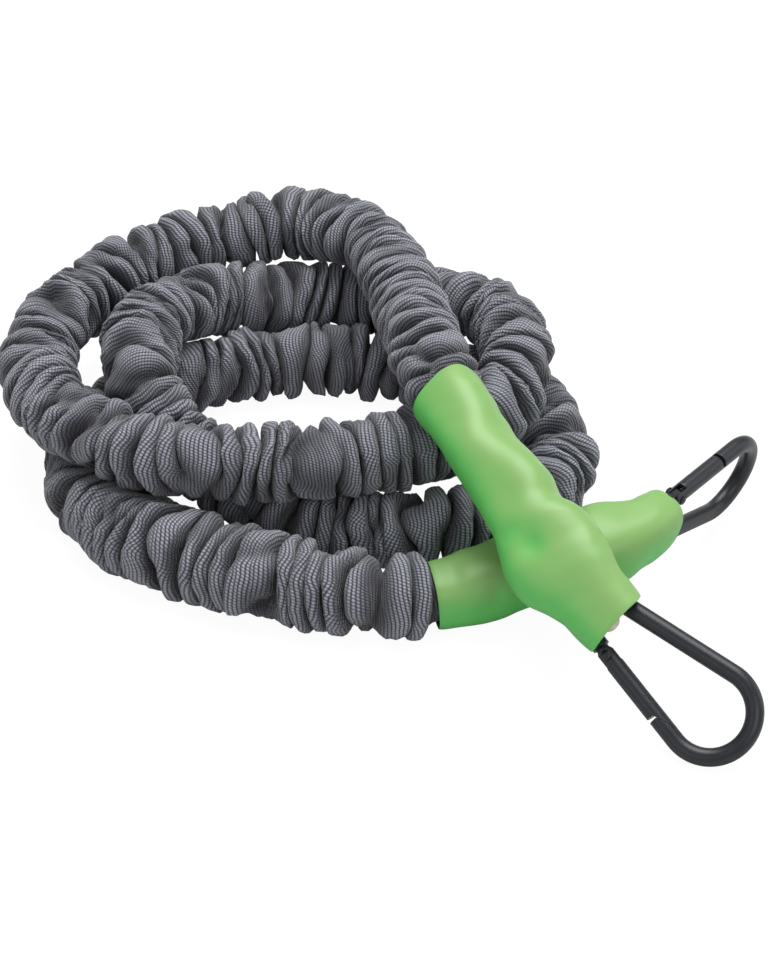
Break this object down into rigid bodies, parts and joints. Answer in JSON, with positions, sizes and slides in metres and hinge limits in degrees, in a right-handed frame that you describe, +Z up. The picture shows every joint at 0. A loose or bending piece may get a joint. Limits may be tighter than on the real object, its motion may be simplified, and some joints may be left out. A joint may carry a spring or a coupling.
{
  "type": "resistance tube",
  "caption": "Elastic resistance tube in a gathered fabric sleeve, laid in a loose coil, with a green rubber end sleeve and a sprung-gate snap hook on each end.",
  "frame": {"origin": "on the floor, under the centre of the whole piece's box", "axes": "+Z up from the floor the coil lies on; +X to the right and +Y away from the viewer as in the picture, so both hooks lie towards +X"},
  "size_m": [0.3096, 0.315, 0.0849],
  "materials": {
    "latex": "dusty matt natural latex",
    "fabric": "ribbed woven polyester in slate grey, gathered",
    "green_rubber": "satin green shrink sleeve",
    "binding_tape": "wound cloth tape",
    "black_steel": "satin black coated steel",
    "bright_steel": "bright steel"
  },
  "bodies": {
    "root": {"latex_tube": "latex", "fabric_sleeve": "fabric", "end_sleeve_a": "green_rubber", "tail_binding_a": "binding_tape", "hook_a": "black_steel", "hinge_rivet_a": "black_steel", "end_sleeve_b": "green_rubber", "tail_binding_b": "binding_tape", "hook_b": "black_steel", "hinge_rivet_b": "black_steel"},
    "gate_a": {"gate_a": "black_steel", "gate_spring_a": "bright_steel"},
    "gate_b": {"gate_b": "black_steel", "gate_spring_b": "bright_steel"},
    "plunger_a": {"gate_plunger_a": "bright_steel"},
    "plunger_b": {"gate_plunger_b": "bright_steel"}
  },
  "joints": [
    {"name": "gate_a_hinge", "type": "hinge", "parent": "root", "child": "gate_a", "pos_m": [0.0871, -0.11922, 0.02462], "axis": [-0.2752, -0.6834, 0.6762], "range_deg": [0, 25], "stiffness_Nm_per_rad": 0.2, "springref_deg": -20.05},
    {"name": "plunger_a_slide", "type": "slide", "parent": "gate_a", "child": "plunger_a", "axis": [0.5901, -0.6753, -0.4424], "range_m": [0, 0.0008]},
    {"name": "gate_b_hinge", "type": "hinge", "parent": "root", "child": "gate_b", "pos_m": [0.11746, -0.04047, 0.04062], "axis": [-0.7576, 0.6196, 0.2054], "range_deg": [0, 25], "stiffness_Nm_per_rad": 0.2, "springref_deg": -20.05},
    {"name": "plunger_b_slide", "type": "slide", "parent": "gate_b", "child": "plunger_b", "axis": [0.6337, 0.7736, 0.0036], "range_m": [0, 0.0008]}
  ],
  "couplings": [
    {"joint": "plunger_a_slide", "follows": "gate_a_hinge", "m_per_rad": 0.0017189},
    {"joint": "plunger_b_slide", "follows": "gate_b_hinge", "m_per_rad": 0.0017189}
  ]
}
